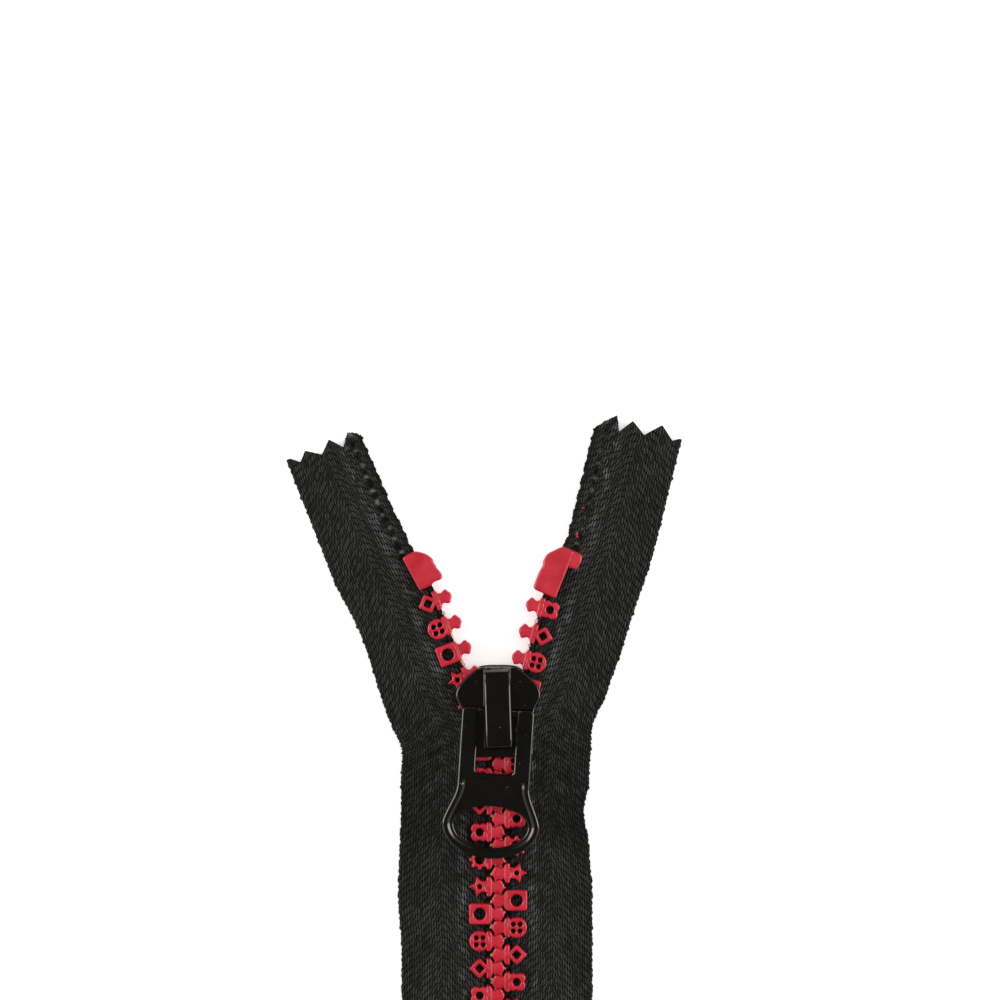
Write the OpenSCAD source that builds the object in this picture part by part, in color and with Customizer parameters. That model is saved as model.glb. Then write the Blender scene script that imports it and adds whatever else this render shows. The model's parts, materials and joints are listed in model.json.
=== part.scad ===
/* [Chain] */
// Distance between neighbouring teeth on one tape
pitch = 4.5; // [4.4:0.1:4.6]
// Teeth on each tape between the two bends
lower_teeth = 30; // [12:1:40]
// Thickness of the teeth, front to back
tooth_t = 3.3; // [3.1:0.1:3.3]
// How far the ornament on a tooth reaches from the centre line
ornament_end = 4.8; // [4.7:0.02:5.0]
// Size of the ornament along the tape
ornament_len = 3.4; // [3.2:0.1:3.5]

/* [Tape] */
// Distance from the centre line to the outer edge of a tape
tape_edge = 16; // [14:0.5:18]
// Thickness of the tape
tape_t = 0.6; // [0.5:0.05:0.7]
// Radius of the cord along the inner edge
cord_r = 0.55; // [0.5:0.05:0.6]
// Length of each open tape beyond the bend in the slider
arm_len = 54.4; // [50:0.2:60]
// Length of bare tape below the bottom stop
tail_len = 20; // [10:1:30]
// Length of the pinked points at each end of a tape
pink_depth = 1.7; // [1:0.1:2.5]

/* [Opening] */
// Angle of the left tape above the slider
left_angle = 21.3; // [15:0.1:22]
// Angle of the right tape above the slider
right_angle = 14.9; // [12:0.1:18]

/* [Slider] */
// Length of the slider
slider_len = 14.9; // [14.6:0.1:15.2]
// Greatest width of the slider
slider_w = 14; // [13.6:0.1:14.4]
// Thickness of each wing
wing_t = 1.1; // [1:0.05:1.2]
// Height of the bail above the upper wing
bail_h = 3.7; // [3.6:0.1:4]
// Width of the bail
bail_w = 4.3; // [4:0.1:4.6]

/* [Pull tab] */
// Length of the pull tab
tab_len = 24.8; // [23:0.2:26]
// Width of the pull tab beside the bail
tab_w = 11.9; // [11.5:0.1:12.4]
// Width of the pull tab across its ring
ring_w = 16; // [15:0.2:17]
// Thickness of the pull tab
tab_t = 1.3; // [1.1:0.1:1.4]

/* [Hidden] */
$fn = 32;

// heights: the underside of the slider is at zero
wing_gap = 0.2;
mid_z = wing_t + wing_gap + tooth_t / 2;
upper_wing_z = mid_z + tooth_t / 2 + wing_gap;
wing_top = upper_wing_z + wing_t;

// the chain along Y: the bend, the lowest position of the slider and the stop under it
bend_y = -3.6;
travel = lower_teeth * pitch;
low_bend_y = bend_y - travel;
left_phase = -2.9;
right_phase = -0.65;
left_arm_teeth = 6;
right_arm_teeth = 5;
stop_gap = 0.9;
bottom_stop_len = 6;
bottom_stop_y = -slider_len / 2 - travel - stop_gap - bottom_stop_len;
tape_end_y = bottom_stop_y - tail_len;

// a tooth, outward from the centre line
tip_x = -1.04;
wide_x = -0.26;
waist_x = 0.53;
base_x = 1.25;
ornament_x = 1.32;
back_pad_x = 3.7;
ornament_mid = (ornament_x + ornament_end) / 2;
ornament_half = (ornament_end - ornament_x) / 2;
shape_count = 6;

// the cord and the slit that a tooth is moulded around
cord_x = 2.5;
tape_x = 2.6;
fit_gap = 0.02;
mitre_gap = 0.15;
left_cord_end = -1;
right_cord_end = 1.2;
cord_break = 1.6;
cloth_gap = 0.02;
pinks = 4;
sewing_x = 8;
sewing_step = 0.05;

// teeth inside the slider are pressed together by its channel
channel_reach = 8;
channel_push = 0.4;
channel_turn = 0.45;

// the bail, its spring and the pull tab
bail_y0 = -6.1;
bail_y1 = 7.2;
bar_r = 0.62;
bar_y = 0.1;
pivot_y = -0.2;
pivot_z = wing_top + 1.3;
tab_tilt = 3.5;
tab_yaw = -3.8;
spring_w = 2;
spring_t = 0.25;
spring_y0 = -4.4;
spring_y1 = 4.3;
pin_w = 1;
pin_y = -3.85;

SHAPES = ["square", "button", "diamond", "clover", "cog", "star"];

RED = [0.75, 0.06, 0.11];
CLOTH = [0.05, 0.05, 0.05];
ENAMEL = [0.03, 0.03, 0.03];
STEEL = [0.6, 0.6, 0.58];

// points on an arc about centre c, from angle a0 to a1
function arc(c, r, a0, a1, n = 8) =
    [for (i = [0 : n]) c + r * [cos(a0 + (a1 - a0) * i / n), sin(a0 + (a1 - a0) * i / n)]];

// the same outline on both sides of the Y axis, given its right-hand half
function both_sides(half) =
    concat(half, [for (i = [len(half) - 1 : -1 : 0]) [-half[i][0], half[i][1]]]);

// ---- teeth ------------------------------------------------------------

// the part of a tooth that meshes, drawn for the right-hand tape
module head_outline() {
    polygon([
        [tip_x, -0.35], [tip_x + 0.25, -0.62], [wide_x - 0.3, -1.1], [wide_x, -1.22],
        [wide_x + 0.3, -1.1], [waist_x, -0.8], [base_x - 0.2, -1.2], [base_x, -1.65],
        [base_x + 0.6, -1.65], [base_x + 0.6, 1.65],
        [base_x, 1.65], [base_x - 0.2, 1.2], [waist_x, 0.8], [wide_x + 0.3, 1.1],
        [wide_x, 1.22], [wide_x - 0.3, 1.1], [tip_x + 0.25, 0.62], [tip_x, 0.35]]);
}

// the ornament that lies on the tape, one generic openwork shape for each kind
module ornament(kind) {
    half = ornament_len / 2;
    translate([ornament_mid, 0]) {
        if (kind == 0) difference() {
            square([2 * ornament_half, ornament_len], center = true);
            circle(1);
        }
        if (kind == 1) difference() {
            circle(half);
            for (a = [45 : 90 : 315]) rotate(a) translate([0.78, 0]) circle(0.4);
        }
        if (kind == 2) difference() {
            polygon([[-ornament_half, 0], [0, -half], [ornament_half, 0], [0, half]]);
            scale(0.48) polygon([[-half, 0], [0, -half], [half, 0], [0, half]]);
        }
        if (kind == 3) difference() {
            union() {
                for (a = [45 : 90 : 315]) rotate(a) translate([0.85, 0]) circle(0.85);
            }
            circle(0.65);
        }
        if (kind == 4) difference() {
            union() {
                circle(half - 0.35);
                for (a = [0 : 45 : 135]) rotate(a) square([ornament_len, 0.6], center = true);
            }
            circle(0.8);
        }
        if (kind == 5) difference() {
            polygon([for (i = [0 : 9]) (i % 2 == 0 ? half + 0.1 : half * 0.52)
                * [cos(36 * i), sin(36 * i)]]);
            circle(0.4);
        }
    }
    translate([ornament_x - 0.1, -0.6]) square([0.9, 1.2]);
}

// one tooth of the right-hand tape at its own origin, without the room for cord and tape
module raw_tooth(kind) {
    translate([0, 0, -tooth_t / 2]) linear_extrude(tooth_t) head_outline();
    linear_extrude(tooth_t / 2) ornament(kind);
    translate([base_x, -1.3, -tooth_t / 2]) cube([back_pad_x - base_x, 2.6, tooth_t / 2]);
}

// what a tooth is moulded around, along a straight piece of the right-hand tape
module tape_slot() {
    translate([cord_x, 0, 0]) rotate([90, 0, 0])
        cylinder(r = cord_r + fit_gap, h = 20, center = true);
    translate([tape_x, -10, -tape_t / 2 - fit_gap])
        cube([ornament_end + 1, 20, tape_t + 2 * fit_gap]);
}

module tooth(kind) {
    difference() {
        raw_tooth(kind);
        tape_slot();
    }
}

// a tooth of an open tape: the nearer to the bend, the more the slider's channel presses it in
module arm_tooth(kind, s, angle) {
    press = max(0, 1 - s / channel_reach);
    translate([0, s, 0]) difference() {
        translate([-channel_push * press, 0, 0]) rotate(angle * press * channel_turn) raw_tooth(kind);
        tape_slot();
    }
}

// the frame of each stringer: drawn for the right-hand side and mirrored for the left
module right_side() {
    translate([0, 0, mid_z]) children();
}
module left_side() {
    mirror([1, 0, 0]) right_side() children();
}
module right_arm() {
    right_side() translate([0, bend_y, 0]) rotate(-right_angle) children();
}
module left_arm() {
    left_side() translate([0, bend_y, 0]) rotate(-left_angle) children();
}

// every tooth of one kind between the two bends
module row(kind, phase) {
    for (i = [kind : shape_count : lower_teeth - 1])
        translate([0, bend_y + phase - pitch * i, 0]) tooth(kind);
}

module end_tooth(phase) {
    translate([0, bend_y + phase - pitch * lower_teeth, 0]) tooth(lower_teeth % shape_count);
}

// ---- tape and cord ----------------------------------------------------

// a tape from y0 to y1, cut along the line that halves a bend of the given angle
module tape(y0, y1) {
    difference() {
        translate([tape_x, y0, -tape_t / 2]) cube([tape_edge - tape_x, y1 - y0, tape_t]);
        translate([cord_x, (y0 + y1) / 2, 0]) rotate([90, 0, 0])
            cylinder(r = cord_r + cloth_gap, h = y1 - y0 + 2, center = true);
    }
}

module mitre(y, turn) {
    translate([0, y, 0]) rotate(turn) translate([-1, 0, -5]) cube([3 * tape_edge, 20, 10]);
}

module pinked_end() {
    step = (tape_edge - tape_x) / pinks;
    for (i = [0 : pinks]) translate([tape_x + step * i, 0, -1]) linear_extrude(2)
        polygon([[-step / 2, 1], [-step / 2, 0], [0, -pink_depth], [step / 2, 0], [step / 2, 1]]);
}

// a flat band for sewing, a shade thicker than the rest of the tape
module sewing_band(y0, y1) {
    translate([sewing_x, y0, -tape_t / 2 - sewing_step])
        cube([tape_edge - 1 - sewing_x, y1 - y0, tape_t / 2]);
}

module cord(y0, y1) {
    translate([cord_x, y0, 0]) rotate([-90, 0, 0]) cylinder(r = cord_r, h = y1 - y0);
}

module lower_tape(angle) {
    difference() {
        union() {
            tape(low_bend_y, bend_y + tape_edge);
            sewing_band(low_bend_y + 5, bend_y - 12);
        }
        mitre(bend_y - mitre_gap, -angle / 2);
    }
}

module bottom_tape() {
    difference() {
        tape(tape_end_y, low_bend_y - mitre_gap);
        translate([0, tape_end_y, 0]) mirror([0, 1, 0]) pinked_end();
    }
}

module upper_tape(angle) {
    difference() {
        tape(-tape_edge, arm_len);
        mirror([0, 1, 0]) mitre(-mitre_gap, -angle / 2);
        translate([0, arm_len, 0]) pinked_end();
    }
}

// ---- stops ------------------------------------------------------------

// where a top stop's middle lies along its tape, how far out, and how far it leans
left_stop_s = 30;
right_stop_s = 28.4;
stop_out = 1.9;
stop_lean = 7;
stop_w = 4.2;

// a stop is moulded around the cord and tape, whatever its lean
module seat_stop(s) {
    translate([0, s, 0]) difference() {
        translate([stop_out, 0, 0]) rotate(-stop_lean) children();
        tape_slot();
    }
}

module left_stop() {
    seat_stop(left_stop_s) translate([0, 0, -tooth_t / 2]) linear_extrude(tooth_t)
        polygon([
            [stop_w / 2, -3], [stop_w / 2, 3], [0, 3.1], [-1, 2.5], [-1.6, 1.6], [-2, 0.2],
            [-1.9, -0.9], [-2.1, -2.4], [-1.9, -2.9], [-1.5, -3.1], [0.2, -3.1]]);
}

module right_stop() {
    seat_stop(right_stop_s) difference() {
        union() {
            translate([0, 0, -tooth_t / 2]) linear_extrude(tooth_t) polygon([
                [stop_w / 2, -4.2], [stop_w / 2, 4.2], [0, 4.2], [-stop_w / 2, 2.4],
                [-stop_w / 2, -3.9]]);
            translate([stop_w / 2 - 0.1, 1.4, 0]) cube([1.6, 2.8, tooth_t / 2 - 0.2]);
        }
        translate([-stop_w / 2, 0.6, 0]) rotate([0, 90, 0])
            cylinder(r = 0.4, h = 0.6, center = true);
    }
}

// ---- slider -----------------------------------------------------------

shoulder_x = 2.3;
shoulder_y = 2.75;
shoulder_r = slider_w / 2 - shoulder_x;
rear_w = 11.5;
rear_r = 0.7;
waist_y = 0.3;
flange_in = 5.15;
flange_h = 1.2;
flange_y = -1.6;

function wing_half() = concat(
    [[rear_w / 2 - rear_r, -slider_len / 2]],
    arc([rear_w / 2 - rear_r, rear_r - slider_len / 2], rear_r, -90, 0, 4),
    [[6, waist_y], [6.55, waist_y + 1.1], [6.9, waist_y + 1.8]],
    arc([shoulder_x, shoulder_y], shoulder_r, 0, 83, 10));

module wing() {
    linear_extrude(wing_t) polygon(both_sides(wing_half()));
}

// ---- bail and spring --------------------------------------------------

// side view of the bail from its rear foot to its front foot, y across and z up
function bail_outer() = concat(
    [[bail_y0, 0]],
    arc([bail_y0 + 2, bail_h - 2.2], 2, 160, 95, 4),
    arc([bail_y1 - 4, bail_h - 3.6], 3.6, 85, 20, 6),
    [[bail_y1, 0]]);

function bail_inner() = concat(
    [[bail_y0 + 1.3, -1]],
    arc([bail_y0 + 2.1, bail_h - 2], 1.15, 160, 95, 4),
    arc([bail_y1 - 4, bail_h - 3.6], 2.75, 85, 30, 6),
    [[bail_y1 - 1.4, -1]]);

// ---- pull tab ---------------------------------------------------------

tab_top = 0.8;
tab_corner_r = 0.5;
tab_end = tab_top - tab_len;
neck_y = -12.2;
ring_y = -18.4;
ring_drop = ring_y - tab_end;
band = 1.65;
window_w = 6.3;
window_y = -10;
panel_depth = 0.35;

// the lower half of an ellipse, from its right end to the middle
function half_bowl(w, y, drop, n = 10) =
    [for (i = [0 : n]) [w * cos(90 * i / n), y - drop * sin(90 * i / n)]];

function tab_half() = concat(
    arc([tab_w / 2 - tab_corner_r, tab_top - tab_corner_r], tab_corner_r, 90, 0, 4),
    [[tab_w / 2, neck_y], [tab_w / 2 + 0.25, neck_y - 1.3], [tab_w / 2 + 0.85, neck_y - 2.8],
     [ring_w / 2 - 0.45, ring_y + 1.6], [ring_w / 2 - 0.1, ring_y + 0.7]],
    half_bowl(ring_w / 2, ring_y, ring_drop));

function ring_half() = concat(
    [[0, -15.3], [2.2, -15.45], [4.2, -16.1], [5.5, -17], [ring_w / 2 - band - 0.15, ring_y + 0.4]],
    half_bowl(ring_w / 2 - band, ring_y, ring_drop - band));

function panel_half() = [
    [0, -10.8], [4.6, -10.8], [4.9, -11.1], [4.95, -12.6], [5.2, -13.8], [4.6, -14.6],
    [2.4, -14.4], [0, -14.3]];

module tab_blank() {
    difference() {
        translate([0, 0, -tab_t / 2]) linear_extrude(tab_t) difference() {
            polygon(both_sides(tab_half()));
            polygon(both_sides(ring_half()));
            translate([-window_w / 2, window_y]) square([window_w, tab_top - window_y + 1]);
        }
        translate([0, 0, tab_t / 2 - panel_depth]) linear_extrude(tab_t)
            polygon(both_sides(panel_half()));
    }
}

// ---- the pieces -------------------------------------------------------

module slider_body() color(ENAMEL) {
    wing();
    difference() {
        translate([0, 0, upper_wing_z]) wing();
        translate([-pin_w, pin_y - pin_w / 2 - 0.2, upper_wing_z - 1])
            cube([2 * pin_w, pin_w + 0.4, wing_t + 2]);
    }
    translate([0, 0, wing_t / 2]) linear_extrude(upper_wing_z)
        polygon([[-0.3, 3.4], [0.2, 3.4], [1, 6.6], [0.4, 7.2], [-0.8, 7.2], [-1.4, 6.6]]);
    for (side = [-1, 1]) translate([side * (flange_in + 0.25) - 0.25, -6.6, wing_t / 2])
        cube([0.5, 6.6 + flange_y, wing_t / 2 + flange_h]);
}

module slider_bail() color(ENAMEL) {
    translate([0, 0, wing_top]) difference() {
        translate([-bail_w / 2, 0, 0]) rotate([90, 0, 90]) linear_extrude(bail_w)
            polygon(bail_outer());
        translate([-bail_w, 0, 0]) rotate([90, 0, 90]) linear_extrude(2 * bail_w)
            polygon(bail_inner());
    }
}

module lock_spring() color(STEEL) {
    leaf_z = pivot_z + bar_r + 0.1;
    translate([-spring_w / 2, spring_y0, leaf_z]) cube([spring_w, spring_y1 - spring_y0, spring_t]);
    translate([-pin_w / 2, pin_y - pin_w / 2, upper_wing_z])
        cube([pin_w, pin_w, leaf_z - upper_wing_z + spring_t / 2]);
}

module pull_tab() color(ENAMEL) {
    translate([0, pivot_y, pivot_z]) rotate(tab_yaw) rotate([tab_tilt, 0, 0]) {
        tab_blank();
        translate([0, bar_y, 0]) rotate([0, 90, 0])
            cylinder(r = bar_r, h = window_w + 1, center = true);
    }
}

module bottom_stop() color(RED) {
    difference() {
        translate([-ornament_end, bottom_stop_y, mid_z - tooth_t / 2])
            cube([2 * ornament_end, bottom_stop_len, tooth_t]);
        translate([0, bottom_stop_y, mid_z]) tape_slot();
        mirror([1, 0, 0]) translate([0, bottom_stop_y, mid_z]) tape_slot();
    }
}

slider_body();
slider_bail();
lock_spring();
pull_tab();
color(RED) left_arm() left_stop();  // left_top_stop
color(RED) right_arm() right_stop();  // right_top_stop
bottom_stop();
color(CLOTH) left_side() bottom_tape();  // left_tape_bottom
color(CLOTH) right_side() bottom_tape();  // right_tape_bottom
color(CLOTH) left_side() lower_tape(left_angle);  // left_tape_lower
color(CLOTH) right_side() lower_tape(right_angle);  // right_tape_lower
color(CLOTH) left_arm() upper_tape(left_angle);  // left_tape_upper
color(CLOTH) right_arm() upper_tape(right_angle);  // right_tape_upper
color(CLOTH) left_side() cord(tape_end_y, low_bend_y - mitre_gap);  // left_cord_bottom
color(CLOTH) right_side() cord(tape_end_y, low_bend_y - mitre_gap);  // right_cord_bottom
color(CLOTH) left_side() cord(low_bend_y, bend_y + left_cord_end);  // left_cord_lower
color(CLOTH) right_side() cord(low_bend_y, bend_y + right_cord_end);  // right_cord_lower
color(CLOTH) left_arm() cord(left_cord_end + cord_break, arm_len);  // left_cord_upper
color(CLOTH) right_arm() cord(right_cord_end + cord_break, arm_len);  // right_cord_upper
color(RED) left_side() end_tooth(left_phase);  // left_end_tooth
color(RED) right_side() end_tooth(right_phase);  // right_end_tooth
for (kind = [0 : shape_count - 1]) {
    color(RED) left_side() row(kind, left_phase);
    color(RED) right_side() row(kind, right_phase);
}
for (i = [1 : left_arm_teeth])
    color(RED) left_arm()
        arm_tooth((i + 2) % shape_count, left_phase + pitch * i, left_angle);
for (i = [1 : right_arm_teeth])
    color(RED) right_arm()
        arm_tooth((i + 4) % shape_count, right_phase + pitch * i, right_angle);
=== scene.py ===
"""Looks of the moulded-tooth zipper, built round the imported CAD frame. Lengths here are millimetres."""

import json
import math
import random

import bpy
import numpy as np
from mathutils import Matrix, Vector
from mathutils.geometry import tessellate_polygon


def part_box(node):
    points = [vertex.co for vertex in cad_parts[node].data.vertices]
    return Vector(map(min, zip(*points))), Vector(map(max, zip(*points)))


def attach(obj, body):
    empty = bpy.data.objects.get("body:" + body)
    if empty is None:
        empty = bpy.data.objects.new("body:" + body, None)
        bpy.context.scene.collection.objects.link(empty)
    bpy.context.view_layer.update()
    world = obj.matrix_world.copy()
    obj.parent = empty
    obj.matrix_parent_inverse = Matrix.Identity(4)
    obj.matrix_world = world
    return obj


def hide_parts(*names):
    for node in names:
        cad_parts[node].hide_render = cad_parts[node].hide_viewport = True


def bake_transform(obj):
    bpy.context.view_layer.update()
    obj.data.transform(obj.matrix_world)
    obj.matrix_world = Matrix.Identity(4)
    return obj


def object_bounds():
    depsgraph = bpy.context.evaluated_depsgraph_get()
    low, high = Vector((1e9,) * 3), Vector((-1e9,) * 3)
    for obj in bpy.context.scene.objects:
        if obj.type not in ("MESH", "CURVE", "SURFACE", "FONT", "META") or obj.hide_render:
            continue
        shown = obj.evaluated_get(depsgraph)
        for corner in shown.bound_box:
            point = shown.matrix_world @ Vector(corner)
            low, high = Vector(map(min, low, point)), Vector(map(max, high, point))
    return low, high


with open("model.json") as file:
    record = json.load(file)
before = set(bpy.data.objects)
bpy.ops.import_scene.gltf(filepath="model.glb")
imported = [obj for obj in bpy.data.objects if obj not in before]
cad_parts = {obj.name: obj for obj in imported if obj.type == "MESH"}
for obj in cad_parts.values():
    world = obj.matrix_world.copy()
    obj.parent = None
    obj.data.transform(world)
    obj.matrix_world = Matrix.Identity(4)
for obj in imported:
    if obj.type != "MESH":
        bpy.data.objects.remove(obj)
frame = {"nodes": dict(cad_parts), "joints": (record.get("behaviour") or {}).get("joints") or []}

CAD_LOW, CAD_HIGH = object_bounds()
MM = 0.001
JOINTS = {j["name"]: j for j in frame["joints"]}
SIDES = {"left": -1, "right": 1}

# the chain, as the CAD model has it
PITCH = 4.5
TOOTH_HALF = 1.65
LOWER_TEETH = 30
ARM_TEETH = {"left": 6, "right": 5}
# where the closed chain's top tooth sits past the bend, and how far on the open teeth's kinds start
PHASE = {"left": -2.9, "right": -0.65}
FIRST_KIND = {"left": 2, "right": 4}
ANGLE = {s: math.radians(JOINTS[s + "_tape_straightens"]["range_deg"][1]) for s in SIDES}
BEND_Y = JOINTS["left_tape_straightens"]["pos_m"][1] / MM
MID_Z = JOINTS["left_tape_straightens"]["pos_m"][2] / MM
# inside the slider's mouth the teeth are pushed inwards and turned, less with each millimetre out
CHANNEL_REACH, CHANNEL_PUSH, CHANNEL_TURN = 8, 0.4, 0.45
KINDS = ["square", "button", "diamond", "clover", "cog", "star"]

# the tape
TAPE_EDGE = 16
CORD_X = 2.5
TAPE_HALF_T = 0.3
ARM_LEN = 54.4
TAPE_END_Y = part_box("left_tape_bottom")[0].y / MM
JOIN_Y = -70
BEND_REACH = 8
LOW_BEND_REACH = 4
SELVEDGE = 0.9
RING_STEP = 0.27

# the herringbone: a yarn's width, its visible length, the step from yarn to yarn, its slant, and
# the place where the slant turns round
YARN_W = 0.42
YARN_STEP = 1.15
YARN_SHIFT = 0.3
YARN_TILT = 0.45
ZONE_U = 9.2
# how the yarns wobble sideways, as (amount, turn along, turn across)
WOBBLE = ((0.035, 1.9, 1.1), (0.015, 4.3, -2.3))
# how each yarn's pattern strays lengthwise, as (amount, turn from yarn to yarn), and along its way
STRAY = ((0.18, 2.7), (0.14, 7.1))
UNEVEN, UNEVEN_ALONG, UNEVEN_YARN = 0.06, 1.7, 1.9
WEAVE_DEPTH = 0.05

# the bead on the inner edge, its extra width under the teeth, and the loose loops on the bare strip
BEAD_U, BEAD_HALF_W, BEAD_HALF_T = 2.85, 0.9, 0.5
BEAD_BULGE, CLOSED_BULGE = 0.62, 0.75
LOOSE_U, LOOSE_STEP = 3.95, PITCH / 2
LOOP_SHARE = {"left": 1.0, "right": 0.6}
LOOP_RISE, LOOP_REACH = 0.42, 0.5
HOLLOW_DEPTH, HOLLOW_REACH = 0.1, 1.0

# the selvedge's knots, and its small waves as (amount, length, start)
KNOT_STEP, KNOT_OUT = 2.6, 0.22
SELVEDGE_WAVES = ((0.07, 0.87, 0), (0.05, 1.37, 1))

# the tape's height: its sag from the bead outwards, and ripples as (amount, length, start)
SAG_U, SAG = 4.5, 2.3
RIPPLES = ((0.42, 27, 0), (0.2, 11.5, 1.3))
RIPPLE_SHIFT = {"left": 0.0, "right": 2.1}
# a pucker and small crinkles beside the slider, a crest outside the bead, and folds where it narrows
PUCKER, PUCKER_V, PUCKER_REACH = 1.2, -4, 6.0
CRINKLE, CRINKLE_REACH = 0.16, 13
CREST, CREST_U, CREST_REACH = 0.16, 5.7, 0.8
FOLD, FOLD_FROM = 1.7, 0.3
# the ends of both tapes droop from these places, over these lengths
DROOP = 1.9
TOP_DROOP_V, TOP_DROOP_LEN = 34, 18
LOW_DROOP_V, LOW_DROOP_LEN = -147, 16

# how far the outer and the inner edge stray outwards, as (distance from the bend, amount)
OUTER_STRAY = {
    "left": [(-50, 0), (-36, 0.1), (-28, 0.65), (-11, 0.15), (0, 0.3), (9, 0.2), (23, -0.5),
             (34, 0.4), (54, 0.5)],
    "right": [(-50, -0.3), (-27, -0.35), (-20, -0.8), (-13, -1.8), (-8, -0.9), (-1, -0.4),
              (6, -1.0), (11, -0.1), (20, 0.5), (36, 1.35), (54, 1.1)],
}
INNER_STRAY = {"left": [(31, 0), (36, 0.4), (42, 0.9), (54, 1.35)],
               "right": [(31, 0), (34, 0.75), (54, 0.45)]}
# the pinked ends, as (distance across the tape, distance past its nominal end)
PINKED = {
    "left": [(3.1, -0.5), (4.2, 0.6), (5.4, 1.0), (6.8, -1.0), (8.6, 1.1), (10.6, -0.8),
             (13, 0.8), (14.4, -0.7), (15.8, 0.5)],
    "right": [(2.2, -1.7), (4.3, 0.5), (5.6, 1.5), (6.6, -1.0), (8.4, 1.3), (10.8, -0.5),
              (13.3, 1.9), (15.6, -0.2), (16.6, 0.4)],
}
PINK_REACH = 4.5
RAGGED_U = 6.2

# small waves as (amount, turn, start): the bare inner edge, the ragged cut, and a loop's place
INNER_WAVES = ((0.09, 2.4, 0), (0.06, 5.3, 1))
RAGGED_WAVES = ((0.13, 17, 0), (0.09, 41, 1))
LOOP_WAVES = ((0.1, 1.7, 0),)
# the twist of the threads that bind the bead, as (amount, turn along, turn across)
TWIST = ((0.05, 9.5, 5), (0.04, 3.1, 2))


# ---- camera, floor and light ----

def make_camera():
    """Straight down on the zipper, with the slider low in the frame and empty floor above."""
    lens, sensor, frame_width = 100, 36, 165 * MM
    focus = Vector((0.3, 34.9, 5)) * MM
    data = bpy.data.cameras.new("camera")
    data.lens, data.sensor_width = lens, sensor
    data.clip_start, data.clip_end = 0.01, 20
    camera = bpy.data.objects.new("camera", data)
    camera.location = focus + Vector((0, 0, frame_width * lens / sensor))
    bpy.context.scene.collection.objects.link(camera)
    bpy.context.scene.camera = camera


def make_softbox(name, azimuth, elevation, width, height, radiance, shows=True, distance=0.6):
    """An area light that faces the slider, with its brightness given at its own surface."""
    data = bpy.data.lights.new(name, "AREA")
    data.shape, data.size, data.size_y = "RECTANGLE", width, height
    data.energy = radiance * math.pi * width * height
    light = bpy.data.objects.new(name, data)
    a, e = math.radians(azimuth), math.radians(elevation)
    away = Vector((math.sin(a) * math.cos(e), math.cos(a) * math.cos(e), math.sin(e)))
    light.location = away * distance
    light.rotation_mode = "QUATERNION"
    light.rotation_quaternion = away.to_track_quat("Z", "Y")
    light.visible_camera = False
    light.visible_glossy = shows
    bpy.context.scene.collection.objects.link(light)


def make_studio():
    """Two softboxes low at the sides, a weak one overhead, and a room brighter towards its sides."""
    make_softbox("left_box", -84, 33, 0.34, 0.5, 3.6)
    make_softbox("right_box", 88, 33, 0.34, 0.5, 3.6)
    make_softbox("top_box", 15, 76, 0.55, 0.55, 1.7, shows=False)
    world = bpy.data.worlds.new("studio")
    world.use_nodes = True
    nodes, links = world.node_tree.nodes, world.node_tree.links
    toward = nodes.new("ShaderNodeSeparateXYZ")
    sideways = nodes.new("ShaderNodeMath")
    sideways.operation = "ABSOLUTE"
    fade = nodes.new("ShaderNodeMapRange")
    fade.inputs["From Min"].default_value, fade.inputs["From Max"].default_value = 0.3, 1.0
    fade.inputs["To Min"].default_value, fade.inputs["To Max"].default_value = 0.045, 0.8
    links.new(nodes.new("ShaderNodeTexCoord").outputs["Generated"], toward.inputs[0])
    links.new(toward.outputs["X"], sideways.inputs[0])
    links.new(sideways.outputs[0], fade.inputs["Value"])
    links.new(fade.outputs[0], nodes["Background"].inputs["Strength"])
    nodes["Background"].inputs["Color"].default_value = (1, 1, 1, 1)
    bpy.context.scene.world = world
    bpy.context.scene.view_settings.view_transform = "Standard"


# ---- materials ----

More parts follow.
